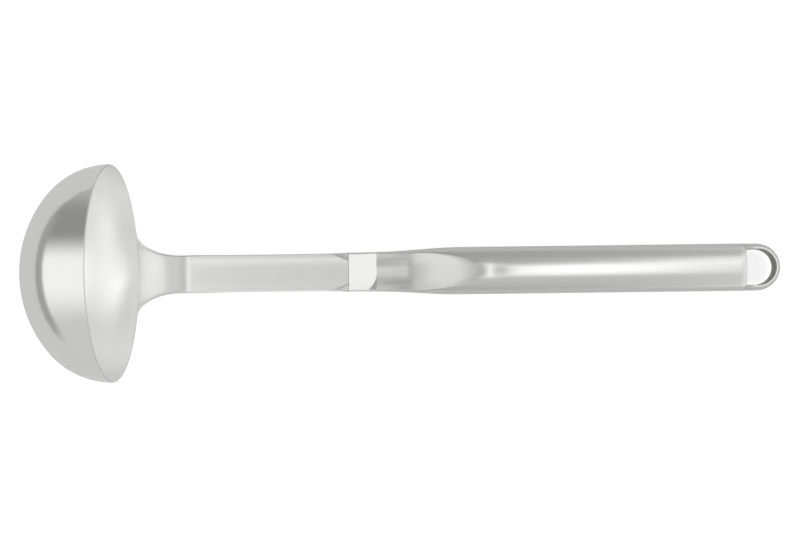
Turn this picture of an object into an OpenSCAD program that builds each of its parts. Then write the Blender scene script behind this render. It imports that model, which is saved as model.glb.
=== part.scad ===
// Serving ladle with a drawn bowl, a flared strip neck and a hollow pressed handle.
// It lies on its back: +X runs along the handle to the hang loop, +Z is up.
// The origin is under the middle of its length, on the surface it lies on.

/* [Whole ladle] */
// Length from the back of the bowl to the end of the hang loop
overall_length = 340; // [320:1:380]

/* [Bowl] */
// Outside diameter of the bowl at its rim
bowl_diameter = 95.5; // [88:0.5:110]
// Outside radius of the wall's curve below the rim
bowl_side_radius = 34.3; // [28:0.1:42]
// How far the bottom bulges, as a share of the distance from the axis to the side curve's centre
bowl_bulge_share = 0.383; // [0.2:0.001:0.6]
// Thickness of the bowl's sheet
bowl_wall = 1.2; // [0.8:0.1:1.8]
// Angle in degrees by which the opening leans up from the handle's line
bowl_lean = 4.7; // [2:0.1:7]

/* [Neck] */
// Width of the neck where it meets the rim
neck_foot_width = 38.6; // [34:0.2:46]
// Distance from the rim over which the neck flares
neck_flare_length = 20.2; // [18:0.2:28]
// Width of the neck at its waist
neck_waist_width = 17.2; // [14:0.2:19]
// Width of the strip between the waist and the collar
neck_strip_width = 17.4; // [15:0.2:19]
// Distance from the waist over which the strip widens again
neck_swell_length = 10; // [6:0.5:20]
// Thickness of the strip
neck_thickness = 2.5; // [1.8:0.1:3.2]
// Distance from the rim over which the sheet thickens to the strip
neck_thicken_length = 15; // [8:0.5:20]
// Distance from the rim over which the neck bends up into the strip
neck_rise_length = 25; // [20:0.5:40]
// Angle in degrees by which the strip rises towards the handle
neck_slope = 3; // [0:0.1:4]
// Width of the tang inside the handle
tang_width = 12; // [8:0.5:13]
// Length of the tang past the strip's shoulder
tang_length = 20; // [16:0.5:24]

/* [Collar] */
// Length of the polished collar along the handle
collar_length = 12.8; // [8:0.2:16]
// Height of the collar's crest above the handle's centre line
collar_crest = 3.6; // [3.2:0.1:5]
// Depth of the collar's back below the handle's centre line
collar_back = 3.1; // [2.6:0.1:4.5]
// Width of the strip's shoulder where the collar starts
collar_front_width = 17.8; // [17:0.1:19]
// Width of the handle where the collar ends
collar_width = 18.3; // [18:0.1:20]
// Gap between the tang and its pocket on each side
tang_clearance = 0.15; // [0.1:0.05:0.3]

/* [Handle] */
// Length of the handle from the collar's front to the end of the tube
handle_length = 182; // [160:0.2:200]
// Width of the tube
tube_width = 21.8; // [20:0.1:25]
// Depth of the tube from front to back
tube_depth = 16; // [14:0.2:18]
// Thickness of the tube's sheet
tube_wall = 1; // [0.7:0.1:1.4]
// Distance from the collar's end over which the sides widen to the tube
side_flare_length = 38.5; // [30:0.5:60]
// Distance from the collar's end over which the back deepens to the tube
back_flare_length = 60; // [40:0.5:80]

/* [Scoop] */
// Height of the thumb hollow's floor above the handle's centre line
hollow_floor = 3.5; // [2:0.1:3.6]
// Distance from the collar's end to the lowest place of the hollow
hollow_distance = 14; // [10:0.5:22]
// Distance from the hollow's lowest place to where the scoop runs out
scoop_run = 38; // [28:0.5:50]
// Radius across the dished floor, from the hollow's lowest place on
scoop_dish_radius = 35; // [20:1:60]
// Radius at which the scoop's floor leaves the tube past its tip
scoop_exit_radius = 50; // [30:1:90]
// Softness of the rounded edge between the scoop and the tube
scoop_edge = 0.6; // [0.3:0.1:1.6]

/* [Hang loop] */
// Distance from the end of the tube to the end of the loop
loop_reach = 16.6; // [14:0.1:20]
// Outside width of the loop
loop_width = 21.7; // [20:0.1:23]
// Greatest thickness of the loop's band
loop_band = 2.65; // [2.4:0.05:3.6]
// Width of the cut edge that remains beside the crowned outside
loop_edge = 1; // [0.6:0.1:1.4]
// Depth of the band from front to back
loop_depth = 11; // [8:0.2:12]
// Thickness of the tabs that seat in the tube
loop_tab_thickness = 1; // [0.8:0.1:1.1]
// Depth of the tabs from front to back
loop_tab_depth = 5.5; // [4:0.5:6]
// Length of the tabs inside the tube
loop_tab_length = 8; // [4:0.5:12]
// Thickness of the end plug
plug_thickness = 2.4; // [1.5:0.1:4]
// Distance from the end of the tube to the plug's outer face
plug_recess = 0.6; // [0.2:0.1:2]
// Gap around the plug and around the tabs in its notches
plug_clearance = 0.1; // [0.05:0.05:0.2]

/* [Hidden] */

// Facets of round forms, and points and sections of the lofted ones
round_facets = 96;
half_loop_points = 21;
flare_sections = 12;
strip_sections = 14;
scoop_sections = 26;
tube_sections = 4;

// Powers of the rounded outlines: 2 is an ellipse, more is squarer
strip_power = 7;
tube_power = 2.3;

// How far a cutter runs past what it cuts
cut_over = 1;
// How far the tang's faces lie below the strip's own
tang_inset = 0.05;

// Bowl: the outline is a bottom arc and a side arc that meet in a common tangent
bowl_radius = bowl_diameter / 2;
side_centre = bowl_radius - bowl_side_radius;
bottom_centre = side_centre * (1 - pow(bowl_bulge_share, 2)) / (2 * bowl_bulge_share);
bottom_radius = bowl_side_radius + side_centre * bowl_bulge_share + bottom_centre;
seam_angle = atan2(bottom_centre, side_centre);
rim_x = -overall_length / 2 + bottom_radius - bottom_centre * cos(bowl_lean);
rim_z = bowl_side_radius + side_centre * cos(bowl_lean);

// Neck: its sheet continues the rim, so it keeps the rim's middle radius
sheet_radius = bowl_radius - bowl_wall / 2;
foot_x = rim_x + sheet_radius * sin(bowl_lean);
foot_z = rim_z - sheet_radius * cos(bowl_lean);
waist_x = foot_x + neck_flare_length;
tang_dish = sheet_radius - sqrt(pow(sheet_radius, 2) - pow(tang_width / 2, 2));
tang_thickness = neck_thickness - tang_dish - 2 * tang_inset;

// Handle: stations along X and its centre line's height
axis_z = tube_depth / 2;
tang_z = axis_z + tang_dish / 2;
tube_end_x = overall_length / 2 - loop_reach;
collar_x = tube_end_x - handle_length;
crest_x = collar_x + collar_length;
hollow_x = crest_x + hollow_distance;
scoop_tip_x = hollow_x + scoop_run;
scoop_end_x = scoop_tip_x + hollow_distance;

// Hang loop: a half ring on two short legs
loop_radius = loop_width / 2;
loop_inner = loop_radius - loop_band;
loop_centre_x = overall_length / 2 - loop_radius;
crown_rise = loop_band - loop_edge;
crown_radius = (pow(loop_depth / 2, 2) + pow(crown_rise, 2)) / (2 * crown_rise);

// Smooth step from 0 to 1
function ease(t) = let (u = min(1, max(0, t))) u * u * (3 - 2 * u);
function mix(a, b, t) = a + (b - a) * t;
// Height of a rounded outline of unit size at the share q of its half width
function rounded(q, power) = pow(max(0, 1 - pow(abs(q), power)), 1 / power);
// The lower of two heights, with the corner between them rounded
function soft_min(a, b, softness) = (a + b - sqrt(pow(a - b, 2) + pow(softness, 2))) / 2;

// Half width of the neck: a quarter ellipse into the waist, then the strip
function flare_half(x) =
    let (t = min(1, max(0, (waist_x - x) / neck_flare_length)))
    (neck_foot_width - neck_waist_width) / 2 * (1 - sqrt(1 - t * t));
function neck_half(x) =
    neck_waist_width / 2 + flare_half(x)
    + (neck_strip_width - neck_waist_width) / 2 * ease((x - waist_x) / neck_swell_length)
    + (collar_front_width - neck_strip_width) / 2 * ease((x - collar_x) / collar_length + 1);
// Half thickness of the neck's sheet
function neck_sheet(x) =
    mix(bowl_wall, neck_thickness, ease((x - foot_x) / neck_thicken_length)) / 2;
// Height of the neck's middle: it leaves along the bowl's wall and bends into the strip's line
function neck_height(x) =
    let (
        t = min(1, (x - foot_x) / neck_rise_length),
        strip = axis_z - tan(neck_slope) * (collar_x - x)
    )
    mix(foot_z, strip, ease(t)) + tan(bowl_lean) * neck_rise_length * t * pow(1 - t, 2);

// One closed loop of the neck, leaning with the rim plane at its foot
function neck_loop(x) =
    let (
        lean = bowl_lean * (1 - ease((x - foot_x) / neck_thicken_length)),
        spread = asin(neck_half(x) / sheet_radius)
    )
    [for (i = [0 : 2 * half_loop_points - 1])
        let (
            turn = 180 * i / half_loop_points,
            side = (i % half_loop_points == 0) ? 0 : sign(sin(turn)),
            r = sheet_radius - side * neck_sheet(x) * rounded(cos(turn), strip_power),
            up = sheet_radius - r * cos(spread * cos(turn))
        )
        [x - up * sin(lean), r * sin(spread * cos(turn)), neck_height(x) + up * cos(lean)]];

// One closed loop of the tang, or of its pocket when it is grown by the gap around it
function tang_loop(x, gap) =
    [for (i = [0 : 2 * half_loop_points - 1])
        let (
            turn = 180 * i / half_loop_points,
            side = (i % half_loop_points == 0) ? 0 : sign(sin(turn))
        )
        [x, (tang_width / 2 + gap) * cos(turn),
            tang_z + side * (tang_thickness / 2 + gap) * rounded(cos(turn), strip_power)]];

// Half width of the handle
function handle_half(x) =
    mix(collar_width, tube_width, ease((x - crest_x) / side_flare_length)) / 2;
// Depth of the handle's back below the centre line
function back_depth(x) =
    mix(collar_back, tube_depth / 2, sin(90 * min(1, max(0, (x - crest_x) / back_flare_length))));
// Height of the scoop's floor above the centre line, at x and y
function scoop_floor(x, y) =
    let (
        before = max(0, hollow_x - x) / hollow_distance,
        past = max(0, x - scoop_tip_x)
    )
    hollow_floor
    + (collar_crest - hollow_floor) * pow(before, 2)
    + (tube_depth / 2 - hollow_floor) * ease((x - hollow_x) / scoop_run)
    + (1 - pow(before, 2)) * pow(y, 2) / (2 * scoop_dish_radius)
    + pow(past, 2) / (2 * scoop_exit_radius);

// A point of the handle's section, set in from its outside by inset
function handle_point(x, turn, inset) =
    let (
        q = cos(turn),
        y = (handle_half(x) - inset) * q,
        height = rounded(q, tube_power),
        front = soft_min((tube_depth / 2 - inset) * height,
            scoop_floor(x, y) - inset, scoop_edge * height),
        back = -(back_depth(x) - inset) * height
    )
    [x, y, axis_z + (turn <= 180 ? front : back)];
function handle_loop(x) =
    [for (i = [0 : 2 * half_loop_points - 1]) handle_point(x, 180 * i / half_loop_points, 0)];
// Loop of one shell: outside from one seam to the other, then back along the inside
function shell_loop(x, first_turn) =
    concat(
        [for (i = [0 : half_loop_points])
            shell_point(x, first_turn, 180 * i / half_loop_points, 0)],
        [for (i = [half_loop_points : -1 : 0])
            shell_point(x, first_turn, 180 * i / half_loop_points, tube_wall)]);
// A shell's seam lies level on the centre line
function shell_point(x, first_turn, turn, inset) =
    (turn == 0 || turn == 180)
        ? [x, (handle_half(x) - inset) * cos(first_turn + turn), axis_z]
        : handle_point(x, first_turn + turn, inset);

// Stations, closest together where the form changes most
neck_stations = concat(
    [for (i = [flare_sections : -1 : 1])
        waist_x - neck_flare_length * sin(90 * i / flare_sections)],
    [for (i = [0 : strip_sections]) mix(waist_x, collar_x, i / strip_sections)]);
shell_stations = concat(
    [for (i = [0 : scoop_sections - 1]) mix(crest_x, scoop_end_x, i / scoop_sections)],
    [for (i = [0 : tube_sections]) mix(scoop_end_x, tube_end_x, i / tube_sections)]);

// End face of a loft, as strips between the two sides of its loop
function end_strips(n, shell) =
    shell
        ? [for (i = [0 : n / 2 - 2]) [i, i + 1, n - 2 - i, n - 1 - i]]
        : concat([[0, 1, n - 1]],
            [for (i = [1 : n / 2 - 2]) [i, i + 1, n - 1 - i, n - i]],
            [[n / 2 - 1, n / 2, n / 2 + 1]]);

// A solid through closed loops of equally many points: with two ends, as a shell, or as a ring
module loft(loops, shell = false, ring = false) {
    n = len(loops[0]);
    count = len(loops);
    sides = [for (k = [0 : count - (ring ? 1 : 2)], i = [0 : n - 1])
        let (j = (i + 1) % n, here = k * n, next = ((k + 1) % count) * n)
        each [[here + i, next + i, here + j], [here + j, next + i, next + j]]];
    near = end_strips(n, shell);
    far = [for (face = near) [for (i = [len(face) - 1 : -1 : 0]) (count - 1) * n + face[i]]];
    polyhedron(points = [for (loop = loops) each loop],
        faces = ring ? sides : concat(near, sides, far));
}

// Half outline of the bowl between its axis, its rim and its outside, set in by inset
module bowl_outline(inset) {
    far = bowl_diameter;
    intersection() {
        translate([0, bottom_centre])
            circle(r = bottom_radius - inset, $fn = round_facets);
        polygon([[0, 0], [side_centre, 0],
            [side_centre + far * cos(seam_angle), -far * sin(seam_angle)], [0, -far]]);
    }
    intersection() {
        translate([side_centre, 0])
            circle(r = bowl_side_radius - inset, $fn = round_facets);
        polygon([[side_centre, 0], [side_centre + far, 0],
            [side_centre + far * cos(seam_angle), -far * sin(seam_angle)]]);
    }
}

// Drawn bowl of even wall, open towards the handle
module bowl() {
    color("gainsboro")
        translate([rim_x, 0, rim_z])
            rotate([0, 90 - bowl_lean, 0])
                rotate_extrude($fn = round_facets)
                    difference() {
                        bowl_outline(0);
                        bowl_outline(bowl_wall);
                    }
}

// Strip from the rim to the collar, with the tang that seats in the handle
module neck() {
    color("gainsboro")
        loft(concat(
            [for (x = neck_stations) neck_loop(x)],
            [tang_loop(collar_x, 0), tang_loop(collar_x + tang_length, 0)]));
}

// Polished collar that widens the strip into the handle, bored for the tang
module collar() {
    color("whitesmoke")
        loft([neck_loop(collar_x), handle_loop(crest_x),
            tang_loop(crest_x, tang_clearance), tang_loop(collar_x, tang_clearance)],
            ring = true);
}

// Front half shell of the handle, with the pressed scoop
module handle_front() {
    color("silver")
        loft([for (x = shell_stations) shell_loop(x, 0)], shell = true);
}

// Back half shell of the handle
module handle_back() {
    color("silver")
        loft([for (x = shell_stations) shell_loop(x, 180)], shell = true);
}

// Plate that closes the tube, notched at its sides for the loop's tabs
module end_plug() {
    inset = tube_wall + plug_clearance;
    notch_depth = loop_tab_depth + 2 * plug_clearance;
    outline = [for (i = [0 : 2 * half_loop_points - 1])
        let (turn = 180 * i / half_loop_points)
        [(tube_width / 2 - inset) * cos(turn),
            (tube_depth / 2 - inset) * sign(sin(turn)) * rounded(cos(turn), tube_power)]];
    color("darkgray")
        difference() {
            translate([tube_end_x - plug_recess - plug_thickness, 0, axis_z])
                rotate([90, 0, 90])
                    linear_extrude(height = plug_thickness)
                        polygon(outline);
            for (side = [0, 1])
                mirror([0, side, 0])
                    translate([tube_end_x - plug_recess - plug_thickness - cut_over,
                        loop_inner - plug_clearance, axis_z - notch_depth / 2])
                        cube([plug_thickness + 2 * cut_over, tube_width, notch_depth]);
        }
}

// Section of the loop's band: flat inside, crowned outside
module band_section() {
    intersection() {
        translate([loop_radius - crown_radius, 0])
            circle(r = crown_radius, $fn = round_facets);
        translate([loop_inner, -loop_depth / 2])
            square([loop_band + cut_over, loop_depth]);
    }
}

// Hang loop: half ring, two legs and the tabs that seat in the tube
module hang_loop() {
    color("gainsboro")
        union() {
            translate([loop_centre_x, 0, axis_z])
                rotate([0, 0, -90])
                    rotate_extrude(angle = 180, $fn = round_facets)
                        band_section();
            for (side = [0, 1])
                mirror([0, side, 0]) {
                    translate([tube_end_x, 0, axis_z])
                        rotate([90, 0, 90])
                            linear_extrude(height = loop_centre_x - tube_end_x)
                                band_section();
                    translate([tube_end_x - loop_tab_length, loop_inner, axis_z - loop_tab_depth / 2])
                        cube([loop_tab_length, loop_tab_thickness, loop_tab_depth]);
                }
        }
}

bowl();
neck();
collar();
handle_front();
handle_back();
end_plug();
hang_loop();
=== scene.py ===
"""A steel ladle lying flat: its pieces, their finishes and the studio around them."""

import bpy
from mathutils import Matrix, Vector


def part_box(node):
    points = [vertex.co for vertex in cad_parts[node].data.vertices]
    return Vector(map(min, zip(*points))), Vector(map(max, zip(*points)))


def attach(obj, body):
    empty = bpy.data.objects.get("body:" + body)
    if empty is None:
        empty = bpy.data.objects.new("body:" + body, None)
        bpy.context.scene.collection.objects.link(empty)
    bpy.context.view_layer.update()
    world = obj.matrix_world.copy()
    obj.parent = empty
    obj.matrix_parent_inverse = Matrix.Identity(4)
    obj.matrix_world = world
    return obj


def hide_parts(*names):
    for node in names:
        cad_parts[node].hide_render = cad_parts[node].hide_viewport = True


bl_info = {
    "name": "Steel ladle",
    "version": (1, 0, 0),
    "blender": (4, 5, 0),
    "location": "View3D > Sidebar > Ladle",
    "description": "Builds a drawn bowl, its flared neck and a hollow handle, in polished and satin steel",
    "category": "Add Mesh",
}

import math

import bpy

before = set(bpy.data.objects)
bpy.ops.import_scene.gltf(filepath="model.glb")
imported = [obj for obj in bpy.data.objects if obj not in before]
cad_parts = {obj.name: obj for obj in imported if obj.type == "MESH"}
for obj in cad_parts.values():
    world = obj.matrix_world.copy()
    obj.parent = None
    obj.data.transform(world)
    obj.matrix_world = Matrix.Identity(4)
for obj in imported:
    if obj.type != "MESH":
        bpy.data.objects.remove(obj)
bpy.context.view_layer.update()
MM = 0.001

BOWL_LOW, BOWL_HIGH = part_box("bowl")
TUBE_LOW, TUBE_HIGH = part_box("handle_front")
BACK_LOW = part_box("handle_back")[0]
COLLAR_LOW, COLLAR_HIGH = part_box("collar")
LOOP_LOW, LOOP_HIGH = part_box("hang_loop")


# Sizes and looks that a user may change


def length(name, description, default):
    return bpy.props.FloatProperty(
        name=name, description=description, default=default, min=0.0, unit="LENGTH", precision=5
    )


def place(name, description, default):
    return bpy.props.FloatProperty(
        name=name, description=description, default=default, unit="LENGTH", precision=5
    )


def share(name, description, default, high=1.0):
    return bpy.props.FloatProperty(
        name=name, description=description, default=default, min=0.0, max=high, precision=3
    )


def strength(name, description, default):
    return share(name, description, default, high=10.0)


def colour(name, description, default):
    return bpy.props.FloatVectorProperty(
        name=name, description=description, default=default, size=3, min=0.0, max=1.0, subtype="COLOR"
    )


def angle(name, description, degrees):
    return bpy.props.FloatProperty(
        name=name, description=description, default=math.radians(degrees), subtype="ANGLE"
    )


class BowlSizes(bpy.types.PropertyGroup):
    """Sizes of the drawn bowl"""

    diameter: length("Diameter", "Outside diameter at the rim", BOWL_HIGH[1] - BOWL_LOW[1])
    side_radius: length("Side radius", "Outside radius of the wall's curve below the rim", 34.3 * MM)
    bulge_share: share("Bulge share", "Bulge of the bottom, as a share of the side centre's reach", 0.383)
    wall: length("Wall", "Thickness of the sheet", 1.2 * MM)
    rim_rounding: length("Rim rounding", "Radius of the rim's ground edges", 0.25 * MM)
    lean: angle("Lean", "Angle by which the opening leans up", 4.7)


class NeckSizes(bpy.types.PropertyGroup):
    """Sizes of the strip between the bowl and the handle"""

    foot_width: length("Foot width", "Width where the neck meets the rim", 38.6 * MM)
    flare_length: length("Flare length", "Distance over which the neck flares", 20.2 * MM)
    waist_width: length("Waist width", "Least width of the neck", 17.2 * MM)
    strip_width: length("Strip width", "Width between the waist and the collar", 17.4 * MM)
    swell_length: length("Swell length", "Distance over which the strip widens again", 10 * MM)
    thickness: length("Thickness", "Thickness of the strip", 2.5 * MM)
    thicken_length: length("Thicken length", "Distance over which the sheet thickens", 15 * MM)
    rise_length: length("Rise length", "Distance over which the neck bends up to the strip", 25 * MM)
    slope: angle("Slope", "Angle by which the strip rises towards the handle", 3)
    tang_width: length("Tang width", "Width of the tang inside the handle", 12 * MM)
    tang_length: length("Tang length", "Length of the tang inside the handle", 20 * MM)
    tang_inset: length("Tang inset", "How far the tang's faces lie below the strip's own", 0.2 * MM)
    tang_clearance: length("Tang clearance", "Gap between the tang and its pocket", 0.15 * MM)
    shoulder_length: length("Shoulder length", "Length of the bevels that the strip ends in", 10 * MM)
    shoulder_width: length("Shoulder width", "Width of these bevels at the collar", 3.8 * MM)
    shoulder_drop: length("Shoulder drop", "Depth of these bevels at the strip's edge", 1.4 * MM)
    groove_width: length("Groove width", "Width of the groove between the strip and the collar", 0.2 * MM)
    groove_depth: length("Groove depth", "Depth of this groove", 0.3 * MM)


class HandleSizes(bpy.types.PropertyGroup):
    """Sizes of the collar and of the hollow handle"""

    collar_length: length("Collar length", "Length of the collar", COLLAR_HIGH[0] - COLLAR_LOW[0])
    collar_crest: length("Collar crest", "Height of the crest above the centre line", 3.6 * MM)
    collar_back: length("Collar back", "Depth of the collar's back below the centre line", 3.1 * MM)
    collar_front_width: length("Collar front width", "Width where the collar starts", 17.8 * MM)
    collar_width: length("Collar width", "Width where the collar ends", 18.3 * MM)
    ramp_cut: length("Ramp cut", "How much sooner the collar's ramp ends at its one edge", 4.8 * MM)
    ramp_cut_start: share("Ramp cut start", "Share of the half width at which this cut starts", 0.1)
    tube_width: length("Tube width", "Width of the tube", TUBE_HIGH[1] - TUBE_LOW[1])
    tube_depth: length("Tube depth", "Depth of the tube", TUBE_HIGH[2] - BACK_LOW[2])
    wall: length("Wall", "Thickness of the tube's sheet", 1.0 * MM)
    side_flare_length: length("Side flare length", "Distance over which the sides widen", 38.5 * MM)
    back_flare_length: length("Back flare length", "Distance over which the back deepens", 60 * MM)
    hollow_floor: length("Hollow floor", "Height of the thumb hollow's floor", 3.5 * MM)
    hollow_distance: length("Hollow distance", "Distance from the collar to the hollow", 14 * MM)
    scoop_run: length("Scoop run", "Distance over which the scoop runs out", 38 * MM)
    scoop_dish_radius: length("Scoop dish radius", "Radius across the scoop's floor", 35 * MM)
    scoop_exit_radius: length("Scoop exit radius", "Radius at which the floor leaves the tube", 50 * MM)
    scoop_edge: length("Scoop edge", "Softness of the scoop's edge", 0.6 * MM)
    end_rounding: length("End rounding", "Radius of the tube's cut end", 0.25 * MM)


class LoopSizes(bpy.types.PropertyGroup):
    """Sizes of the hang loop"""

    width: length("Width", "Outside width of the loop", LOOP_HIGH[1] - LOOP_LOW[1])
    band: length("Band", "Greatest thickness of the band", 2.65 * MM)
    edge: length("Edge", "Width of the cut edge", 1.0 * MM)
    depth: length("Depth", "Depth of the band", LOOP_HIGH[2] - LOOP_LOW[2])
    rounding: length("Rounding", "Radius of the band's corners", 0.2 * MM)
    tab_thickness: length("Tab thickness", "Thickness of the tabs in the tube", 1.0 * MM)
    tab_depth: length("Tab depth", "Depth of the tabs in the tube", 5.5 * MM)
    tab_length: length("Tab length", "Length of the tabs in the tube", 8 * MM)


class SteelLooks(bpy.types.PropertyGroup):
    """Colours and roughness of the steel"""

    polished: colour("Polished", "Colour of the polished steel", (0.82, 0.82, 0.81))
    brushed: colour("Brushed", "Colour of the brushed steel", (0.69, 0.69, 0.675))
    polished_roughness: share("Polished roughness", "Mean roughness of the polished steel", 0.14)
    inside_roughness: share("Inside roughness", "Mean roughness inside the bowl", 0.38)
    brushed_roughness: share("Brushed roughness", "Mean roughness of the brushed steel", 0.2)
    # The satin colour is painted lighter than the polished steel, as light gathered inside the bowl
    satin: colour("Satin", "Colour of the satin steel inside the bowl", (0.92, 0.92, 0.91))
    # The dull colour is painted dark: unpolished steel, darkened further as shade on the lip and inside
    # the hang loop
    dull: colour("Dull", "Colour of the steel where it isn't polished", (0.42, 0.42, 0.41))
    dull_roughness: share("Dull roughness", "Mean roughness of the unpolished steel", 0.35)
    cloud_depth: length("Cloud depth", "Depth of the unevenness that the buffing leaves", 0.03 * MM)
    line_depth: length("Line depth", "Depth of the brushing lines", 0.004 * MM)


class StudioLooks(bpy.types.PropertyGroup):
    """Camera and light of the studio"""

    camera_height: length("Camera height", "Height of the camera above the floor", 780 * MM)
    camera_along: place("Camera along", "Place of the camera along the handle", -5.2 * MM)
    camera_across: place("Camera across", "Place of the camera across the handle", -12.65 * MM)
    focal_share: share("Focal share", "Focal length as a share of the sensor width", 2.0934, high=10.0)
    framing_shift: share("Framing shift", "Shift of the picture across the handle", 0.0405)
    roll: angle("Roll", "Turn of the camera about its axis", 0.715)
    floor: colour("Floor", "Colour of the floor", (0.8, 0.8, 0.8))
    floor_lift: share("Floor lift", "Light that the floor's white adds for the camera", 0.58)
    card_lift: share("Card lift", "Light that the two reflector cards on the floor add", 0.4)
    tent_light: strength("Tent light", "Light from the near side of the tent", 0.68)
    far_light: strength("Far light", "Light from the far side, where the tent is open", 0.32)
    panel_light: strength("Panel light", "Light from the long panel past the bowl", 1.06)
    handle_light: strength("Handle light", "Light from the side where the handle ends", 1.05)
    end_light: strength("End light", "Light from the card past the end of the handle", 1.4)
    top_light: strength("Top light", "Light from the strip above the handle", 2.3)
    opening_light: strength("Opening light", "Light from the opening round the camera", 0.22)
    ceiling_light: strength("Ceiling light", "Light from between the opening and the panel", 0.72)
    horizon_light: strength("Horizon light", "Light from the gap between the floor and the panel", 0.4)


# Rules that the forms follow


def ease(t):
    u = min(1.0, max(0.0, t))
    return u * u * (3 - 2 * u)


def mix(a, b, t):
    return a + (b - a) * t


def rounded(q, power):
    """Height of a rounded outline of unit size at the share q of its half width"""
    return max(0.0, 1 - abs(q) ** power) ** (1 / power)


def soft_min(a, b, softness):
    """The lower of two heights, with the corner between them rounded"""
    return (a + b - math.hypot(a - b, softness)) / 2


def spaced(start, end, count):
    return [mix(start, end, i / count) for i in range(count + 1)]


# Powers of the rounded outlines: 2 is an ellipse, and a higher power has squarer corners
STRIP_POWER = 7
TUBE_POWER = 2.3

# Angles past which an edge is shaded sharp, and past which it is rounded
SHARP_ANGLE = math.radians(35)
ROUNDED_ANGLE = math.radians(40)


class LadleForm:
    """Places and outlines of the ladle, worked out from its sizes"""

    def __init__(self, bowl, neck, handle, loop):
        self.bowl = bowl
        self.neck = neck
        self.handle = handle
        self.loop = loop

        # The bowl's profile is two arcs, by the distance of their centres from the axis and the rim plane
        self.bowl_radius = bowl.diameter / 2
        self.side_centre = self.bowl_radius - bowl.side_radius
        self.bottom_centre = self.side_centre * (1 - bowl.bulge_share**2) / (2 * bowl.bulge_share)
        self.bottom_radius = bowl.side_radius + self.side_centre * bowl.bulge_share + self.bottom_centre
        self.rim_x = BOWL_LOW[0] + self.bottom_radius - self.bottom_centre * math.cos(bowl.lean)
        self.rim_z = bowl.side_radius + self.side_centre * math.cos(bowl.lean)
        self.sheet_radius = self.bowl_radius - bowl.wall / 2

        # Places along the ladle, from the neck's foot on the rim to the end of the tube
        self.foot_x = self.rim_x + self.sheet_radius * math.sin(bowl.lean)
        self.foot_z = self.rim_z - self.sheet_radius * math.cos(bowl.lean)
        self.waist_x = self.foot_x + neck.flare_length
        self.collar_x = COLLAR_LOW[0]
        self.crest_x = self.collar_x + handle.collar_length
        self.tube_end_x = TUBE_HIGH[0]
        self.axis_z = handle.tube_depth / 2
        self.hollow_x = self.crest_x + handle.hollow_distance
        self.scoop_tip_x = self.hollow_x + handle.scoop_run

        # The tang is the flat bar that fits into the strip's hollow section
        tang_half = neck.tang_width / 2
        self.tang_dish = self.sheet_radius - math.sqrt(self.sheet_radius**2 - tang_half**2)
        self.tang_z = self.axis_z + self.tang_dish / 2

        self.loop_radius = loop.width / 2
        self.loop_centre_x = LOOP_HIGH[0] - self.loop_radius

    def neck_half(self, x):
        """Half width of the neck: a quarter ellipse into the waist, then the strip"""
        neck = self.neck
        t = min(1.0, max(0.0, (self.waist_x - x) / neck.flare_length))
        flare = (neck.foot_width - neck.waist_width) / 2 * (1 - math.sqrt(1 - t * t))
        swell = (neck.strip_width - neck.waist_width) / 2 * ease((x - self.waist_x) / neck.swell_length)
        shoulder = self.handle.collar_front_width - neck.strip_width
        shoulder *= ease((x - self.collar_x) / self.handle.collar_length + 1) / 2
        return neck.waist_width / 2 + flare + swell + shoulder

    def neck_height(self, x):
        """Height of the neck's middle: it leaves along the bowl's wall and levels out"""
        t = min(1.0, (x - self.foot_x) / self.neck.rise_length)
        along_wall = math.tan(self.bowl.lean) * self.neck.rise_length * t * (1 - t) ** 2
        strip = self.axis_z - math.tan(self.neck.slope) * (self.collar_x - x)
        return mix(self.foot_z, strip, ease(t)) + along_wall

    def neck_loop(self, x, turns, bevelled=True):
        """One closed loop of the neck, leaning with the rim plane at its foot"""
        thickening = ease((x - self.foot_x) / self.neck.thicken_length)
        lean = self.bowl.lean * (1 - thickening)
        sheet = mix(self.bowl.wall, self.neck.thickness, thickening) / 2
        spread = math.asin(self.neck_half(x) / self.sheet_radius)
        loop = []
        for turn in turns:
            q = math.cos(turn)
            side = math.copysign(1, math.sin(turn))
            radius = self.sheet_radius - side * sheet * rounded(q, STRIP_POWER)
            up = self.sheet_radius - radius * math.cos(spread * q)
            if bevelled:
                up -= self.shoulder(x, q, side)
            loop.append(
                (
                    x - up * math.sin(lean),
                    radius * math.sin(spread * q),
                    self.neck_height(x) + up * math.cos(lean),
                )
            )
        return loop

    def shoulder(self, x, q, side):
        """Depth by which the strip's front is bevelled and grooved just before the collar"""
        if side <= 0:
            return 0.0
        neck = self.neck
        before_collar = self.collar_x - x
        groove = neck.groove_depth * max(0.0, 1 - before_collar / neck.groove_width)
        width = neck.shoulder_width * (1 - before_collar / neck.shoulder_length)
        half = self.neck_half(x)
        within = abs(q) * half - half + width
        if width <= 0 or within <= 0:
            return groove
        bevel = groove + neck.shoulder_drop * (within / neck.shoulder_width) ** 2
        return min(bevel, neck.thickness * rounded(q, STRIP_POWER))

    def tang_loop(self, x, turns, gap=0.0):
        """One closed loop of the tang, or of its pocket when it is grown by the gap around it"""
        thickness = self.neck.thickness - self.tang_dish - 2 * self.neck.tang_inset + 2 * gap
        loop = []
        for turn in turns:
            q = math.cos(turn)
            side = math.copysign(1, math.sin(turn))
            height = side * thickness / 2 * rounded(q, STRIP_POWER)
            loop.append((x, (self.neck.tang_width / 2 + gap) * q, self.tang_z + height))
        return loop

    def ramp_share(self, turn):
        """Share of the collar's length over which its ramp rises: less towards one edge of the front"""
        if math.sin(turn) <= 0:
            return 1.0
        handle = self.handle
        edge = max(0.0, -math.cos(turn) - handle.ramp_cut_start) / (1 - handle.ramp_cut_start)
        return 1 - handle.ramp_cut / handle.collar_length * edge**2

    def handle_half(self, x):
        handle = self.handle
        widening = ease((x - self.crest_x) / handle.side_flare_length)
        return mix(handle.collar_width, handle.tube_width, widening) / 2

    def back_depth(self, x):
        t = min(1.0, max(0.0, (x - self.crest_x) / self.handle.back_flare_length))
        return mix(self.handle.collar_back, self.handle.tube_depth / 2, math.sin(math.pi / 2 * t))

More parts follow.
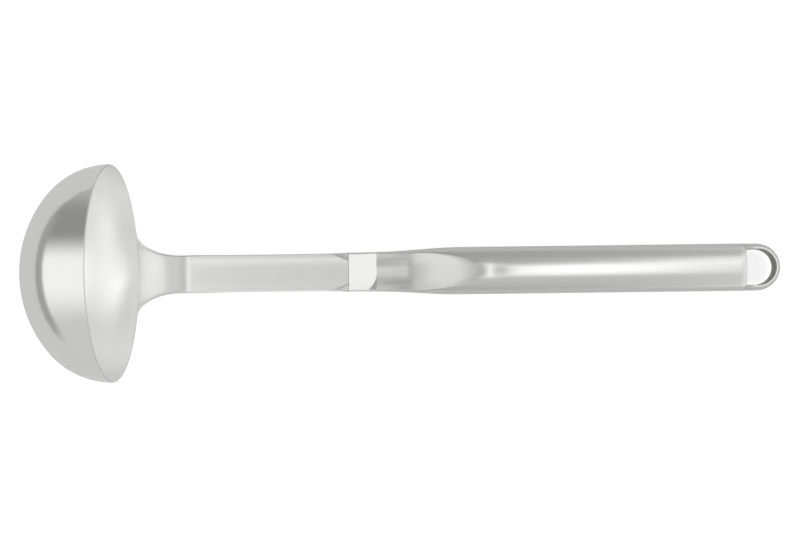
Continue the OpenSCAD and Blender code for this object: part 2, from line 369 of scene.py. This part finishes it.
    def scoop_floor(self, x, y):
        """Height of the scoop's floor above the centre line"""
        handle = self.handle
        before = max(0.0, self.hollow_x - x) / handle.hollow_distance
        past = max(0.0, x - self.scoop_tip_x)
        rise = ease((x - self.hollow_x) / handle.scoop_run)
        floor = handle.hollow_floor + (handle.collar_crest - handle.hollow_floor) * before**2
        floor += (handle.tube_depth / 2 - handle.hollow_floor) * rise
        dish = (1 - before**2) * y**2 / (2 * handle.scoop_dish_radius)
        return floor + dish + past**2 / (2 * handle.scoop_exit_radius)

    def handle_point(self, x, turn, inset):
        """A point of the handle's section, set in from its outside by inset"""
        handle = self.handle
        q = math.cos(turn)
        y = (self.handle_half(x) - inset) * q
        height = rounded(q, TUBE_POWER)
        if math.sin(turn) >= 0:
            tube = (handle.tube_depth / 2 - inset) * height
            z = soft_min(tube, self.scoop_floor(x, y) - inset, handle.scoop_edge * height)
        else:
            z = -(self.back_depth(x) - inset) * height
        return (x, y, self.axis_z + z)

    def handle_loop(self, x, turns):
        return [self.handle_point(x, turn, 0.0) for turn in turns]


# Meshes


def add_mesh(name, points, faces):
    mesh = bpy.data.meshes.new(name)
    mesh.from_pydata(points, [], faces)
    mesh.update()
    piece = bpy.data.objects.new(name, mesh)
    bpy.context.scene.collection.objects.link(piece)
    return piece


def finish_piece(piece, material, slot, *nodes):
    """Smooth the piece, dress it and let it stand for its CAD nodes"""
    piece.data.polygons.foreach_set("use_smooth", [True] * len(piece.data.polygons))
    piece.data.set_sharp_from_angle(angle=SHARP_ANGLE)
    piece.data.materials.clear()
    piece.data.materials.append(material)
    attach(piece, "root")
    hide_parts(*nodes)


def end_strips(n, shell):
    """End face of a loft, as strips between the two sides of its loop"""
    if shell:
        return [(i, i + 1, n - 2 - i, n - 1 - i) for i in range(n // 2 - 1)]
    first = [(0, 1, n - 1)]
    last = [(n // 2 - 1, n // 2, n // 2 + 1)]
    return first + [(i, i + 1, n - 1 - i, n - i) for i in range(1, n // 2 - 1)] + last


def loft(name, loops, shell=False, ring=False):
    """A solid through closed loops of equally many points"""
    n = len(loops[0])
    count = len(loops)
    faces = []
    for k in range(count if ring else count - 1):
        here = k * n
        ahead = (k + 1) % count * n
        for i in range(n):
            j = (i + 1) % n
            faces.append((here + i, here + j, ahead + j, ahead + i))
    if not ring:
        ends = end_strips(n, shell)
        faces += [tuple(reversed(face)) for face in ends]
        faces += [tuple((count - 1) * n + i for i in face) for face in ends]
    return add_mesh(name, [point for loop in loops for point in loop], faces)


# Node graphs


class Wire:
    """A socket that can be used in arithmetic: every operator adds a Math node"""

    def __init__(self, graph, socket):
        self.graph = graph
        self.socket = socket

    def math(self, operation, *others):
        """A Math node on this value and the others"""
        return self.graph.math(operation, self, *others)

    def __add__(self, other):
        return self.math("ADD", other)

    def __radd__(self, other):
        return self.graph.math("ADD", other, self)

    def __sub__(self, other):
        return self.math("SUBTRACT", other)

    def __rsub__(self, other):
        return self.graph.math("SUBTRACT", other, self)

    def __mul__(self, other):
        return self.math("MULTIPLY", other)

    def __rmul__(self, other):
        return self.graph.math("MULTIPLY", other, self)

    def __truediv__(self, other):
        return self.math("DIVIDE", other)

    def held(self, low, high):
        """The value, held between low and high"""
        return self.math("MAXIMUM", low).math("MINIMUM", high)

    def clamp(self):
        """The value, held between 0 and 1"""
        return self.graph.add("ShaderNodeMath", {"operation": "ADD", "use_clamp": True}, self, 0.0)

    def within(self, low, high):
        """Smooth step from 0 at low to 1 at high"""
        return self.graph.add(
            "ShaderNodeMapRange",
            {"interpolation_type": "SMOOTHSTEP"},
            **{"Value": self, "From Min": low, "From Max": high},
        )

    def between(self, start, full, fading, end):
        """Smooth patch that starts, is full, starts to fade and ends at these values"""
        return self.within(start, full) * (1 - self.within(fading, end))

    def fade(self, low, high, loss=1.0):
        """Smooth step from 1 at low to what the loss leaves at high"""
        return 1 - self.within(low, high) * loss


class Graph:
    """A node tree, with one way to add any node to it"""

    def __init__(self, tree):
        self.tree = tree

    def add(self, kind, settings=None, *values, output=0, **named):
        """Adds a node: its settings first, then its sockets by place or by name; gives one output"""
        node = self.tree.nodes.new(kind)
        for key, value in (settings or {}).items():
            setattr(node, key, value)
        for key, value in list(enumerate(values)) + list(named.items()):
            self.feed(node.inputs[key], value)
        return Wire(self, node.outputs[output]) if len(node.outputs) else node

    def math(self, operation, *values):
        return self.add("ShaderNodeMath", {"operation": operation}, *values)

    def parts(self, vector):
        """The x, y and z of a vector"""
        split = self.add("ShaderNodeSeparateXYZ", {}, vector).socket.node
        return [Wire(self, split.outputs[axis]) for axis in "XYZ"]

    def mix(self, factor, first, second):
        """Mixes two colours"""
        node = self.tree.nodes.new("ShaderNodeMix")
        node.data_type = "RGBA"
        colours = [socket for socket in node.inputs if socket.type == "RGBA"]
        self.feed(node.inputs["Factor"], factor)
        self.feed(colours[0], first if isinstance(first, Wire) else (*first, 1.0))
        self.feed(colours[1], (*second, 1.0))
        return Wire(self, next(socket for socket in node.outputs if socket.type == "RGBA"))

    def feed(self, socket, value):
        if isinstance(value, Wire):
            self.tree.links.new(value.socket, socket)
        else:
            socket.default_value = value


class FormGraph(Graph):
    """A Geometry Nodes tree that bends a grid into a piece"""

    merge_distance = 1e-6

    def vector(self, x, y, z):
        return self.add("ShaderNodeCombineXYZ", {}, x, y, z)

    def grid(self, across_steps, along_steps):
        """A unit grid, with the share of each point across and along it"""
        points = {"Vertices X": across_steps + 1, "Vertices Y": along_steps + 1}
        grid = self.add("GeometryNodeMeshGrid", {}, **{"Size X": 1.0, "Size Y": 1.0}, **points)
        x, y, _ = self.parts(self.add("GeometryNodeInputPosition"))
        return x + 0.5, y + 0.5, grid

    def mark(self, grid, name, value):
        """Stores a value on the grid's points, for the material to read"""
        return self.add(
            "GeometryNodeStoreNamedAttribute",
            {"data_type": "FLOAT", "domain": "POINT"},
            Geometry=grid,
            Name=name,
            Value=value,
        )

    def bend(self, grid, x, y, z):
        """Moves the grid's points to these places"""
        return self.add("GeometryNodeSetPosition", {}, Geometry=grid, Position=self.vector(x, y, z))

    def close(self, bent, given):
        """Joins the grid's edges and poles, and ends the tree"""
        joined = self.add("GeometryNodeMergeByDistance", {}, Geometry=bent, Distance=self.merge_distance)
        real = self.add("GeometryNodeRealizeInstances", {}, Geometry=joined)
        dressed = self.add("GeometryNodeSetMaterial", {}, Geometry=real, Material=given["Material"])
        self.add("NodeGroupOutput", {}, Geometry=dressed)


def form_tree(name, sizes):
    """A Geometry Nodes tree with named sizes and a material as its inputs"""
    tree = bpy.data.node_groups.new(name, "GeometryNodeTree")
    for size in sizes:
        tree.interface.new_socket(name=size, in_out="INPUT", socket_type="NodeSocketFloat")
    tree.interface.new_socket(name="Material", in_out="INPUT", socket_type="NodeSocketMaterial")
    tree.interface.new_socket(name="Geometry", in_out="OUTPUT", socket_type="NodeSocketGeometry")
    graph = FormGraph(tree)
    source = tree.nodes.new("NodeGroupInput")
    return tree, graph, {size: Wire(graph, source.outputs[size]) for size in [*sizes, "Material"]}


def grow(name, tree, values, rounding=0.0, rounding_steps=0):
    """Runs the tree with these inputs, rounds its edges and keeps the result as a plain mesh"""
    piece = add_mesh(name, [], [])
    modifier = piece.modifiers.new("form", "NODES")
    modifier.node_group = tree
    for socket in tree.interface.items_tree:
        if socket.in_out == "INPUT":
            modifier[socket.identifier] = values[socket.name]
    if rounding:
        bevel = piece.modifiers.new("rounded_edges", "BEVEL")
        bevel.width = rounding
        bevel.segments = rounding_steps
        bevel.limit_method = "ANGLE"
        bevel.angle_limit = ROUNDED_ANGLE
    evaluated = piece.evaluated_get(bpy.context.evaluated_depsgraph_get())
    mesh = bpy.data.meshes.new_from_object(evaluated)
    piece.modifiers.clear()
    piece.data = mesh
    return piece


def new_material(name):
    """The empty graph of a new material"""
    material = bpy.data.materials.new(name)
    material.use_nodes = True
    material.node_tree.nodes.clear()
    graph = Graph(material.node_tree)
    graph.material = material
    return graph


def stretched_noise(graph, scale, detail, roughness=0.55):
    """Noise around 0.5, with its own scale along each axis of the piece"""
    place = graph.add("ShaderNodeTexCoord", output="Object")
    drawn = graph.add("ShaderNodeMapping", {}, Vector=place, Scale=scale)
    return graph.add(
        "ShaderNodeTexNoise", {}, Vector=drawn, Scale=1.0, Detail=detail, Roughness=roughness
    )


def steel(tint, roughness, grain, depth):
    """A metal of this colour, in the graph that its roughness and its grain come from"""
    material, graph = roughness.graph.material, roughness.graph
    bump = graph.add("ShaderNodeBump", {}, Strength=1.0, Distance=depth, Height=grain)
    shader = graph.add(
        "ShaderNodeBsdfPrincipled",
        {},
        **{"Base Color": tint, "Metallic": 1.0, "Roughness": roughness, "Normal": bump},
    )
    graph.add("ShaderNodeOutputMaterial", {}, Surface=shader)
    return material


def polished_steel(looks):
    """Mirror steel from a buffing wheel: cloudy, with hair-fine scratches, and satin inside the bowl; the
    inside's colour is painted lighter as light in the bowl, and the dull marks are unpolished steel
    painted dark as shade
    """
    cloud_scale, cloud_spread = (60, 60, 60), 0.8
    hair_scale, hair_spread = (60, 900, 900), 0.03
    graph = new_material("ladle_polished_steel")
    clouds = stretched_noise(graph, cloud_scale, detail=4.0)
    hairs = stretched_noise(graph, hair_scale, detail=2.0)
    inside = graph.add("ShaderNodeAttribute", {"attribute_name": "inside"}, output="Fac")
    dull = graph.add("ShaderNodeAttribute", {"attribute_name": "dull"}, output="Fac")
    mean = looks.polished_roughness + inside * (looks.inside_roughness - looks.polished_roughness)
    mean += dull * (looks.dull_roughness - looks.polished_roughness)
    roughness = mean * (1 - cloud_spread / 2 + clouds * cloud_spread) + (hairs - 0.5) * hair_spread
    tint = graph.mix(dull, graph.mix(inside, looks.polished, looks.satin), looks.dull)
    return steel(tint, roughness, clouds, looks.cloud_depth)


def brushed_steel(looks):
    """Satin steel brushed along the handle"""
    line_scale, line_spread = (25, 2500, 2500), 0.1
    band_scale, band_spread = (12, 500, 500), 0.06
    graph = new_material("ladle_brushed_steel")
    lines = stretched_noise(graph, line_scale, detail=3.0)
    bands = stretched_noise(graph, band_scale, detail=2.0)
    roughness = looks.brushed_roughness + (lines - 0.5) * line_spread + (bands - 0.5) * band_spread
    return steel((*looks.brushed, 1.0), roughness, lines, looks.line_depth)


def dressed(make, looks):
    """The steel that this function makes, made once"""
    return bpy.data.materials.get("ladle_" + make.__name__) or make(looks)


def scene_form(context):
    scene = context.scene
    return LadleForm(scene.ladle_bowl, scene.ladle_neck, scene.ladle_handle, scene.ladle_loop)


def half_turns(count):
    return [math.pi * i / count for i in range(count + 1)]


def full_turns(count):
    """Turns of a whole loop of 2 * count points"""
    return [math.pi * i / count for i in range(2 * count)]


# Operators


class LADLE_OT_bowl(bpy.types.Operator):
    """Revolve the drawn bowl"""

    bl_idname = "ladle.bowl"
    bl_label = "Bowl"
    bl_options = {"REGISTER", "UNDO"}

    arc_steps = 42
    rim_steps = 12
    round_steps = 224

    # The dull line on the lip, where the unpolished edge is also painted dark as a shade line: its shares
    # of the rim's steps, and how fast it starts on the upper side
    lip_shares = (0.3, 0.7)
    lip_gain = 2

    def tree(self):
        """Bends a grid into the bowl: across it runs the turn, along it the sheet's outline"""
        sizes = ["Rim radius", "Side radius", "Bulge share", "Wall", "Rim rounding", "Lean"]
        sizes += ["Rim x", "Rim z"]
        tree, graph, given = form_tree("bowl_form", sizes)
        radius, side_radius, bulge, wall, rounding, lean, rim_x, rim_z = (given[size] for size in sizes)
        side_centre = radius - side_radius
        bottom_centre = side_centre * (1 - bulge * bulge) / (bulge * 2)
        bottom_radius = side_radius + side_centre * bulge + bottom_centre
        seam = side_centre.math("ARCTAN2", bottom_centre)
        top = (rounding / side_radius).math("ARCCOSINE")

        # Steps along the outline: up the outside, around the rim and down the inside
        arc, rim = self.arc_steps, self.rim_steps
        rim_start = 2 * arc
        rim_end = rim_start + rim
        steps = rim_end + 2 * arc
        across, along, grid = graph.grid(self.round_steps, steps)
        step = along * steps
        outer_bottom = (step / arc).clamp()
        outer_side = ((step - arc) / arc).clamp()
        around_rim = ((step - rim_start) / rim).clamp()
        inner_side = ((step - rim_end) / arc).clamp()
        inner_bottom = ((step - rim_end - arc) / arc).clamp()

        # The sheet's two arcs, by their angle from the bottom
        opened = seam * (outer_bottom - inner_bottom) + (top - seam) * (outer_side - inner_side)
        at_bottom = opened.math("LESS_THAN", seam)
        inset = wall * around_rim.math("GREATER_THAN", 0.5)
        reach = side_radius + (bottom_radius - side_radius) * at_bottom - inset
        sheet_r = side_centre * (1 - at_bottom) + reach * opened.math("SINE")
        sheet_z = bottom_centre * at_bottom - reach * opened.math("COSINE")

        # The rim's rounded edges, on the steps from its start to its end
        rim_turn = around_rim * math.pi
        cosine = rim_turn.math("COSINE")
        flat = wall / 2 - rounding
        rim_r = radius - wall / 2 + cosine.math("SIGN") * flat + cosine * rounding
        rim_rise = rim_turn.math("SINE") * rounding - rounding
        at_rim = step.math("GREATER_THAN", rim_start - 0.5) * step.math("LESS_THAN", rim_end + 0.5)
        r = sheet_r + (rim_r - sheet_r) * at_rim
        z = sheet_z + (rim_rise - sheet_z) * at_rim

        # The inside is satin and its colour is painted lighter as light in the bowl, and the middle of the
        # lip is dull and painted dark as shade where it faces up
        turn = across * (2 * math.pi)
        lip_start, lip_end = (rim_start + rim * part for part in self.lip_shares)
        lip = step.math("GREATER_THAN", lip_start) * step.math("LESS_THAN", lip_end)
        marked = graph.mark(grid, "inside", step.math("GREATER_THAN", rim_start + rim / 2))
        marked = graph.mark(marked, "dull", lip * (turn.math("COSINE") * -self.lip_gain).clamp())
        bent = graph.bend(marked, r * turn.math("COSINE"), r * turn.math("SINE"), z)
        placed = graph.add(
            "GeometryNodeTransform",
            {},
            Geometry=bent,
            Translation=graph.vector(rim_x, 0.0, rim_z),
            Rotation=graph.add(
                "FunctionNodeEulerToRotation", {}, graph.vector(0.0, math.pi / 2 - lean, 0.0)
            ),
        )
        graph.close(placed, given)
        return tree

    def execute(self, context):
        form = scene_form(context)
        material = dressed(polished_steel, context.scene.ladle_steel)
        values = {
            "Rim radius": form.bowl_radius,
            "Side radius": form.bowl.side_radius,
            "Bulge share": form.bowl.bulge_share,
            "Wall": form.bowl.wall,
            "Rim rounding": form.bowl.rim_rounding,
            "Lean": form.bowl.lean,
            "Rim x": form.rim_x,
            "Rim z": form.rim_z,
            "Material": material,
        }
        piece = grow("bowl_sheet", self.tree(), values)
        finish_piece(piece, material, "polished_steel", "bowl")
        return {"FINISHED"}


class LADLE_OT_neck(bpy.types.Operator):
    """Loft the neck and its tang"""

    bl_idname = "ladle.neck"
    bl_label = "Neck"
    bl_options = {"REGISTER", "UNDO"}

    flare_steps = 60
    strip_steps = 120
    half_points = 48

    def execute(self, context):
        form = scene_form(context)
        turns = full_turns(self.half_points)
        steps = self.flare_steps
        flare = [form.neck.flare_length * math.cos(math.pi / 2 * i / steps) for i in range(steps)]
        stations = [form.waist_x - reach for reach in flare]
        stations += spaced(form.waist_x, form.collar_x - form.neck.groove_width, self.strip_steps)
        stations.append(form.collar_x)
        loops = [form.neck_loop(x, turns) for x in stations]
        loops.append(form.tang_loop(form.collar_x, turns))
        loops.append(form.tang_loop(form.collar_x + form.neck.tang_length, turns))
        piece = loft("neck_strip", loops)
        material = dressed(polished_steel, context.scene.ladle_steel)
        finish_piece(piece, material, "polished_steel", "neck")
        return {"FINISHED"}


class LADLE_OT_collar(bpy.types.Operator):
    """Loft the polished collar"""

    bl_idname = "ladle.collar"
    bl_label = "Collar"
    bl_options = {"REGISTER", "UNDO"}

    steps = 96
    half_points = 64

    def execute(self, context):
        form = scene_form(context)
        turns = full_turns(self.half_points)
        front = form.neck_loop(form.collar_x, turns, bevelled=False)
        rear = form.handle_loop(form.crest_x, turns)
        loops = []
        for i in range(self.steps + 1):
            part = i / self.steps
            loop = []
            for turn, start, end in zip(turns, front, rear):
                rise = min(1.0, part / form.ramp_share(turn))
                x, y, _ = (mix(a, b, part) for a, b in zip(start, end))
                loop.append((x, y, mix(start[2], end[2], rise)))
            loops.append(loop)
        gap = form.neck.tang_clearance
        loops.append(form.tang_loop(form.crest_x, turns, gap))
        loops.append(form.tang_loop(form.collar_x, turns, gap))
        piece = loft("collar_wedge", loops, ring=True)
        material = dressed(polished_steel, context.scene.ladle_steel)
        finish_piece(piece, material, "polished_steel", "collar")
        return {"FINISHED"}


class LADLE_OT_handle(bpy.types.Operator):
    """Loft the two half shells of the handle"""

    bl_idname = "ladle.handle"
    bl_label = "Handle shells"
    bl_options = {"REGISTER", "UNDO"}

    scoop_steps = 180
    tube_steps = 40
    rounding_steps = 4
    half_points = 64

    def shell(self, form, name, first_turn):
        turns = half_turns(self.half_points)
        handle = form.handle
        scoop_end = form.scoop_tip_x + handle.hollow_distance
        rounding = handle.end_rounding
        stations = [(x, 0.0) for x in spaced(form.crest_x, scoop_end, self.scoop_steps)]
        stations += [(x, 0.0) for x in spaced(scoop_end, form.tube_end_x - rounding, self.tube_steps)[1:]]
        for i in range(1, self.rounding_steps + 1):
            turn = math.pi / 2 * i / self.rounding_steps
            x = form.tube_end_x - rounding * (1 - math.sin(turn))
            stations.append((x, rounding * (1 - math.cos(turn))))
        loops = []
        for x, inset in stations:
            outside = [form.handle_point(x, first_turn + turn, inset) for turn in turns]
            inside = [form.handle_point(x, first_turn + turn, handle.wall) for turn in reversed(turns)]
            for side in (outside, inside):
                for end in (0, -1):
                    side[end] = (side[end][0], side[end][1], form.axis_z)
            loops.append(outside + inside)
        return loft(name, loops, shell=True)

    def execute(self, context):
        form = scene_form(context)
        material = dressed(brushed_steel, context.scene.ladle_steel)
        front = self.shell(form, "handle_front_shell", 0.0)
        finish_piece(front, material, "brushed_steel", "handle_front")
        back = self.shell(form, "handle_back_shell", math.pi)
        finish_piece(back, material, "brushed_steel", "handle_back")
        return {"FINISHED"}


class LADLE_OT_hang_loop(bpy.types.Operator):
    """Bend the hang loop, from one tab round to the other"""

    bl_idname = "ladle.hang_loop"
    bl_label = "Hang loop"
    bl_options = {"REGISTER", "UNDO"}

    bend_steps = 96
    side_steps = 4
    inside_steps = 4
    edge_steps = 2
    crown_steps = 20
    rounding_steps = 3

    # How far the outside of the loop is roughened and darkened towards the dull colour, where its
    # unpolished inside, painted dark as a shaded reflection, is 1
    outside_dullness = 0.4

    def tree(self):
        """Bends a grid into the loop: across it runs the way round, along it the band's outline"""
        sizes = ["Radius", "Band", "Edge", "Depth", "Tab thickness", "Tab depth", "Tab length"]
        sizes += ["Centre x", "Tube end x", "Axis z"]
        tree, graph, given = form_tree("hang_loop_form", sizes)
        radius, band, edge, depth, tab_thickness, tab_depth, tab_length, centre_x, end_x, axis_z = (
            given[size] for size in sizes
        )
        inner = radius - band
        rise = band - edge
        half = depth / 2
        crown = (half * half + rise * rise) / (rise * 2)

        bend = self.bend_steps / 2
        way_steps = self.bend_steps + 2 * self.side_steps
        inside, cut, top = self.inside_steps, self.edge_steps, self.crown_steps
        outline_steps = inside + 2 * cut + top
        across, along, grid = graph.grid(way_steps, outline_steps)
        step = along * outline_steps
        thick = ((step - inside) / cut).clamp() - ((step - inside - cut - top) / cut).clamp()
        deep = 1 - (step / inside).clamp() * 2 + ((step - inside - cut) / top).clamp() * 2

        # The way round: the bend, and at each side of it a leg and a tab's root, length and tip
        way = (across - 0.5) * way_steps
        turn = (way / bend).held(-1.0, 1.0) * (math.pi / 2)
        past_bend = way.math("ABSOLUTE") - bend
        at_leg, at_tab, past_tab, at_tip = ((past_bend - i).clamp() for i in range(self.side_steps))
        open_share = 1 - at_tip
        thick = thick * open_share + at_tip * 0.5
        deep = deep * open_share
        sink = deep * half
        curve = crown * crown - sink * sink
        crowned = edge + curve.math("SQRT") - crown + rise
        thickness = crowned + (tab_thickness - crowned) * at_tab
        r = inner + thick * thickness
        z = axis_z + deep * (depth + (tab_depth - depth) * at_tab) / 2
        back = (centre_x - end_x) * at_leg + tab_length * past_tab

        # The band's inside is unpolished steel painted dark as a shaded reflection, and its outside is
        # darkened part of the way
        on_inside = step.math("LESS_THAN", inside + 0.5)
        dull_and_shade_amount = on_inside * (1 - self.outside_dullness) + self.outside_dullness
        marked = graph.mark(grid, "dull", dull_and_shade_amount)
        bent = graph.bend(marked, centre_x - back + r * turn.math("COSINE"), r * turn.math("SINE"), z)
        graph.close(bent, given)
        return tree

    def execute(self, context):
        form = scene_form(context)
        loop = form.loop
        material = dressed(polished_steel, context.scene.ladle_steel)
        values = {
            "Radius": form.loop_radius,
            "Band": loop.band,
            "Edge": loop.edge,
            "Depth": loop.depth,
            "Tab thickness": loop.tab_thickness,
            "Tab depth": loop.tab_depth,
            "Tab length": loop.tab_length,
            "Centre x": form.loop_centre_x,
            "Tube end x": form.tube_end_x,
            "Axis z": form.axis_z,
            "Material": material,
        }
        piece = grow("hang_loop_band", self.tree(), values, loop.rounding, self.rounding_steps)
        finish_piece(piece, material, "polished_steel", "hang_loop")
        return {"FINISHED"}


class LADLE_OT_end_plug(bpy.types.Operator):
    """Dress the plate that closes the tube"""

    bl_idname = "ladle.end_plug"
    bl_label = "End plug"
    bl_options = {"REGISTER", "UNDO"}

    def execute(self, context):
        material = dressed(brushed_steel, context.scene.ladle_steel)
        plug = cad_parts["end_plug"]
        plug.data.materials.clear()
        plug.data.materials.append(material)
        return {"FINISHED"}


class LADLE_OT_studio(bpy.types.Operator):
    """Set up the floor, the light and the camera"""

    bl_idname = "ladle.studio"
    bl_label = "Studio"
    bl_options = {"REGISTER", "UNDO"}

    sensor_width = 36.0
    floor_reach = 0.47

    # The reflector cards, in metres along the floor: one under the neck, one past the hang loop
    neck_card = (-0.105, -0.085, -0.05, -0.02)
    loop_card = (0.25, 0.35)

    # The tent's patches, in degrees from straight up, along the handle and across it. Four numbers are
    # where a patch starts, is full, starts to fade and ends. Two are a soft edge, and a third one after
    # them is the share that is lost past that edge.
    dip_along = (-14, -6, 14, 22)
    dip_across = (-80, -25)
    dip_depth = 0.12
    far_start = (2, 26)
    far_low_fade = (62, 95, 0.5)
    far_handle_fade = (-16, 5, 0.5)
    panel_across = (-54, -14, 12, 42)
    panel_end = (-8, 0)
    handle_start = (8, 20)
    handle_far_fade = (38, 54, 0.45)
    handle_low_fade = (35, 75, 0.25)
    shade_start = (28, 42)
    shade_gap = (-34, -6, 6, 34)
    shade_gap_share = 0.7
    shade_depth = 0.22
    end_start = (62, 76)
    end_across = (-45, -20, 20, 45)
    strip_bend = (6, 13)
    strip_shift = 26
    strip_across = (-22, -6, 4, 16)
    strip_along = (1.5, 3.8, 12, 20)
    strip_fade = (4.5, 11, 0.5)
    ceiling_across = (-16, -6, 10, 24)
    ceiling_along = (-15.5, -12, -5, -2)
    opening_across = (-26, -14, 14, 26)
    opening_along = (-5, -2.5, 0.2, 2.2)
    horizon_end = (-82, -62)
    horizon_height = (87, 91)

    # Least distance from straight up at which a direction is worked out
    least_level = 1e-4

    def add_floor(self, looks):
        reach = self.floor_reach
        floor = add_mesh(
            "studio_floor",
            [(-reach, -reach, 0), (reach, -reach, 0), (reach, reach, 0), (-reach, reach, 0)],
            [(0, 1, 2, 3)],
        )
        graph = new_material("studio_paper")
        x, _, _ = graph.parts(graph.add("ShaderNodeTexCoord", output="Object"))
        card = (x.between(*self.neck_card) + x.within(*self.loop_card)) * looks.card_lift
        seen = graph.add("ShaderNodeLightPath", output="Is Camera Ray")
        lift = card + seen * (looks.floor_lift - card)
        paper = graph.add("ShaderNodeBsdfDiffuse", {}, Color=(*looks.floor, 1.0))
        glow = graph.add("ShaderNodeEmission", {}, Color=lift, Strength=1.0)
        both = graph.add("ShaderNodeAddShader", {}, paper, glow)
        graph.add("ShaderNodeOutputMaterial", {}, Surface=both)
        floor.data.materials.append(graph.material)

    def add_world(self, looks):
        """A white tent with lighter and darker patches; the camera sees plain white behind the ladle"""
        world = bpy.data.worlds.new("studio_tent")
        world.use_nodes = True
        world.node_tree.nodes.clear()
        graph = Graph(world.node_tree)
        x, y, z = graph.parts(graph.add("ShaderNodeTexCoord", output="Generated"))
        from_top = z.math("ARCCOSINE") * math.degrees(1)
        level = (x * x + y * y).math("SQRT")
        stretch = from_top / level.math("MAXIMUM", self.least_level)
        along = x * stretch
        across = y * stretch

        def lit(light, patch, level):
            return light + patch * (level - light)

        # The near side has a dip in front of the ladle, and the far side is darker
        dip = across.fade(*self.dip_across) * along.between(*self.dip_along)
        far = across.within(*self.far_start)
        far *= across.fade(*self.far_low_fade) * along.fade(*self.far_handle_fade)
        light = lit(looks.tent_light - dip * self.dip_depth, far, looks.far_light)

        # The panel past the bowl, and the side where the handle ends, shaded off its middle
        panel = across.between(*self.panel_across) * along.fade(*self.panel_end)
        light = lit(light, panel, looks.panel_light)
        handle_side = along.within(*self.handle_start)
        handle_side *= across.fade(*self.handle_far_fade) * along.fade(*self.handle_low_fade)
        light = lit(light, handle_side, looks.handle_light)
        shade = along.within(*self.shade_start)
        shade *= 1 - across.between(*self.shade_gap) * self.shade_gap_share
        light *= 1 - shade * self.shade_depth
        end_card = along.within(*self.end_start) * across.between(*self.end_across)
        light = lit(light, end_card, looks.end_light)

        # The bent strip above the handle, the ceiling and the opening round the camera
        slant = across - along.within(*self.strip_bend) * self.strip_shift
        strip = slant.between(*self.strip_across) * along.between(*self.strip_along)
        light = lit(light, strip * along.fade(*self.strip_fade), looks.top_light)
        ceiling = across.between(*self.ceiling_across) * along.between(*self.ceiling_along)
        light = lit(light, ceiling, looks.ceiling_light)
        opening = across.between(*self.opening_across) * along.between(*self.opening_along)
        light = lit(light, opening, looks.opening_light)
        horizon = along.fade(*self.horizon_end) * from_top.within(*self.horizon_height)
        light = lit(light, horizon, looks.horizon_light)

        tent = graph.add("ShaderNodeBackground", {}, Color=light, Strength=1.0)
        plain = graph.add("ShaderNodeBackground", {}, Color=(1.0, 1.0, 1.0, 1.0), Strength=1.0)
        seen = graph.add("ShaderNodeLightPath", output="Is Camera Ray")
        either = graph.add("ShaderNodeMixShader", {}, seen, tent, plain)
        graph.add("ShaderNodeOutputWorld", {}, Surface=either)
        bpy.context.scene.world = world

    def add_camera(self, looks):
        data = bpy.data.cameras.new("studio_camera")
        data.sensor_width = self.sensor_width
        data.lens = data.sensor_width * looks.focal_share
        camera = bpy.data.objects.new("studio_camera", data)
        data.shift_y = looks.framing_shift
        camera.location = (looks.camera_along, looks.camera_across, looks.camera_height)
        camera.rotation_euler = (0.0, 0.0, -looks.roll)
        bpy.context.scene.collection.objects.link(camera)
        bpy.context.scene.camera = camera

    def execute(self, context):
        looks = context.scene.ladle_studio
        self.add_floor(looks)
        self.add_world(looks)
        self.add_camera(looks)
        context.scene.view_settings.view_transform = "Standard"
        return {"FINISHED"}


OPERATORS = (
    LADLE_OT_studio,
    LADLE_OT_bowl,
    LADLE_OT_neck,
    LADLE_OT_collar,
    LADLE_OT_handle,
    LADLE_OT_hang_loop,
    LADLE_OT_end_plug,
)
GROUPS = {
    "ladle_bowl": BowlSizes,
    "ladle_neck": NeckSizes,
    "ladle_handle": HandleSizes,
    "ladle_loop": LoopSizes,
    "ladle_steel": SteelLooks,
    "ladle_studio": StudioLooks,
}


class LADLE_PT_panel(bpy.types.Panel):
    """Lists the ladle's pieces and sizes"""

    bl_idname = "LADLE_PT_panel"
    bl_label = "Steel ladle"
    bl_space_type = "VIEW_3D"
    bl_region_type = "UI"
    bl_category = "Ladle"

    def draw(self, context):
        for operator in OPERATORS:
            self.layout.operator(operator.bl_idname)
        for name, group in GROUPS.items():
            box = self.layout.box()
            box.label(text=group.__doc__)
            for key in group.__annotations__:
                box.prop(getattr(context.scene, name), key)


def register():
    for group in GROUPS.values():
        bpy.utils.register_class(group)
    for operator in OPERATORS:
        bpy.utils.register_class(operator)
    bpy.utils.register_class(LADLE_PT_panel)
    for name, group in GROUPS.items():
        setattr(bpy.types.Scene, name, bpy.props.PointerProperty(type=group))


def unregister():
    for name in GROUPS:
        delattr(bpy.types.Scene, name)
    bpy.utils.unregister_class(LADLE_PT_panel)
    for operator in reversed(OPERATORS):
        bpy.utils.unregister_class(operator)
    for group in reversed(GROUPS.values()):
        bpy.utils.unregister_class(group)


def main():
    register()
    for operator in OPERATORS:
        group, name = operator.bl_idname.split(".")
        getattr(getattr(bpy.ops, group), name)()


if __name__ == "__main__":
    main()
